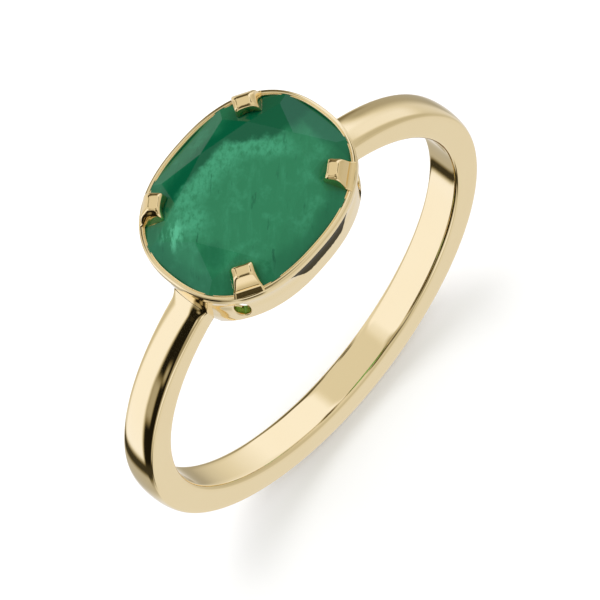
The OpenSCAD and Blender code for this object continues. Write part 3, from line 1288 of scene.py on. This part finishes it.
@dataclass
class Studio:
    """Plain soft light, a pale floor and the camera.

    Attributes:
        floor_z: Height of the floor in millimetres.
        azimuth: The camera's direction, in degrees from the front towards the right.
        elevation: Its height above the ring's level plane, in degrees.
        roll: How far it is turned about its own axis, in degrees.
        distance: Its distance from the ring in millimetres.
        lens: Its focal length in millimetres.
        aim: Where its axis crosses the ring's middle, right and up of the centre, in millimetres.
        key_power: The power of the lamp that casts the shadow, in watts.
        key_towards: Direction from the ring to that lamp.
        key_far: That lamp's distance in millimetres.
        key_size: Its width and height in millimetres.
        room_level: Brightness of the plain light from all round.
        wall_level: Brightness that the polish mirrors where no card hangs.
    """

    floor_z: float
    azimuth: float = -24.15
    elevation: float = 65.05
    roll: float = -26.46
    distance: float = 321.4
    lens: float = 469.7
    aim: Pair = (-0.08, 0.149)
    key_power: float = 2.6
    key_towards: Point = (0.15, 0.55, 1.8)
    key_far: float = 900.0
    key_size: float = 520.0
    room_level: float = 1.06
    wall_level: float = 0.74

    def axes(self) -> tuple[Vector, Vector, Vector]:
        """Gives the camera's right, up and backward directions."""
        az, el, roll = (math.radians(v) for v in (self.azimuth, self.elevation, self.roll))
        back = Vector((math.sin(az) * math.cos(el), -math.cos(az) * math.cos(el), math.sin(el)))
        level = Vector((0, 0, 1)).cross(back).normalized()
        rise = back.cross(level)
        right = level * math.cos(roll) + rise * math.sin(roll)
        return right, back.cross(right), back

    def place_camera(self) -> None:
        """Makes the camera and makes it the scene's own."""
        right, up, back = self.axes()
        data = bpy.data.cameras.new("studio_camera")
        data.lens = self.lens
        data.sensor_width = 36
        data.clip_start = 0.01
        data.clip_end = 20
        camera = put_in_scene("studio_camera", data)
        aim = (right * self.aim[0] + up * self.aim[1]) * MM
        turn = Matrix((right, up, back)).transposed()
        camera.matrix_world = Matrix.Translation(aim + back * self.distance * MM) @ turn.to_4x4()
        bpy.context.scene.camera = camera

    def hang_lamp(self) -> None:
        """Hangs the soft lamp that casts the shadow, which the polish doesn't mirror."""
        data = bpy.data.lights.new("key_box", "AREA")
        data.shape = "RECTANGLE"
        data.size = self.key_size * MM
        data.size_y = self.key_size * MM
        data.energy = self.key_power
        lamp = put_in_scene("key_box", data)
        direction = Vector(self.key_towards).normalized()
        lamp.location = direction * self.key_far * MM
        lamp.rotation_euler = direction.to_track_quat("Z", "Y").to_euler()
        lamp.visible_glossy = False

    def lay_floor(self) -> None:
        """Makes the pale floor under the ring, which the polish doesn't mirror."""
        plan = MeshPlan()
        reach, steps = 1500.0, 8
        rows = [plan.row([(reach * (2 * i / steps - 1), reach * (2 * j / steps - 1), self.floor_z)
                          for i in range(steps + 1)]) for j in range(steps + 1)]
        for first, second in zip(rows, rows[1:]):
            plan.bridge(first, second, closed=False)
        floor = plan.build("studio_floor")
        material, _, skin = new_material("floor_paper")
        skin.inputs["Base Color"].default_value = (0.95, 0.95, 0.95, 1)
        skin.inputs["Roughness"].default_value = 0.9
        floor.data.materials.append(material)
        floor.visible_glossy = False

    def light(self) -> None:
        """Lights the floor softly and hangs the bright and dark cards that the polish mirrors."""
        bpy.context.scene.view_settings.view_transform = "Standard"
        self.hang_lamp()
        world = bpy.data.worlds.new("studio_room")
        world.use_nodes = True
        bpy.context.scene.world = world
        book = NodeBook(world.node_tree)
        room = world.node_tree.nodes["Background"]
        room.inputs["Strength"].default_value = 1.0
        rays = book.add("ShaderNodeLightPath")
        cards = book.ramp(self.card_levels(book), GRADE)
        plain = book.mix(rays.outputs["Is Camera Ray"], (self.room_level,) * 3 + (1,), (1, 1, 1, 1))
        book.link(book.mix(rays.outputs["Is Glossy Ray"], plain, cards), room.inputs["Color"])

    def card_levels(self, book: NodeBook) -> Socket:
        """Paints the room's cards by direction.

        Args:
            book: The world's nodes.

        Returns:
            How bright the room is in the direction of a ray, where 1 is white paper.
        """
        split = book.add("ShaderNodeSeparateXYZ")
        book.link(book.add("ShaderNodeTexCoord").outputs["Generated"], split.inputs[0])
        x, y, z = split.outputs
        turn = book.math("DEGREES", book.math("ARCTAN2", x, book.math("MULTIPLY", y, -1)))
        rise = book.math("DEGREES", book.math("ARCSINE", z))
        level: Input = self.wall_level
        for card in CARDS:
            spans = ((turn, card.azimuth, card.half_width, card.soft_width),
                     (rise, card.elevation, card.half_height, card.soft_height))
            masks = []
            for value, middle, half, soft in spans:
                off = book.math("WRAP", book.math("SUBTRACT", value, middle), 180, -180)
                masks.append(book.step(book.math("ABSOLUTE", off), half + soft, half - soft))
            level = book.mix(book.times(*masks), level, card.level, "FLOAT")
        return book.times(level, GRADE_SHARE)


# --- putting it together -------------------------------------------------------------------------


def main() -> None:
    """Builds the ring and its studio, and reports each piece."""
    stone_low, stone_high = box_mm("emerald")
    rim_low, rim_high = box_mm("rim")
    shank_low, shank_high = box_mm("shank")
    claw_high = box_mm("claw_front_left")[1]
    finger_r = finger_radius()

    studio = Studio(floor_z=shank_low.z)
    studio.place_camera()
    studio.lay_floor()
    studio.light()

    oval = Oval(stone_high.x, stone_high.y)
    girdle_z, girdle_t = rim_low.z + 0.37, 0.12
    stone = Stone(oval, girdle_z, girdle_z + girdle_t, stone_high.z, stone_low.z)
    finishes = {gold: gold.value.build() for gold in Gold}

    set_down(stone.build(), StoneFinish().build(), "emerald")
    lower_edge_z = 9.05
    collet = Collet(oval, rim_low.z, lower_edge_z, finger_r)
    set_down(collet.build(), finishes[Gold.WALL], "collet")
    lap = 0.08
    rim = Rim(oval, rim_low.z, rim_high.z, rim_high.x - stone_high.x, lap)
    set_down(rim.build(), finishes[Gold.RIM], "rim")
    front_bulge, back_bulge = 0.02, 0.16
    for name, x, y in (("claw_front_left", -1, -1), ("claw_front_right", 1, -1),
                       ("claw_back_left", -1, 1), ("claw_back_right", 1, 1)):
        claw = Claw(name.replace("claw", "hook"), stone, rim.thick, rim_high.z, claw_high.z, x, y,
                    bulge=back_bulge if y > 0 else front_bulge)
        set_down(claw.build(), finishes[Gold.CLAW], name)
    heel = 0.16
    dome = 0.21
    outer_r = -shank_low.z - heel
    shank = Shank(oval, collet.side, finger_r, shank_high.y * 2, outer_r - dome, dome, heel)
    set_down(shank.build(), finishes[Gold.BAND], "shank")
    seat = frame["nodes"]["stone_seat"]
    seat.data.materials.clear()
    seat.data.materials.append(finishes[Gold.WALL])
    log.info("stone_seat: the CAD's own shape, in wall gold")


if __name__ == "__main__":
    main()
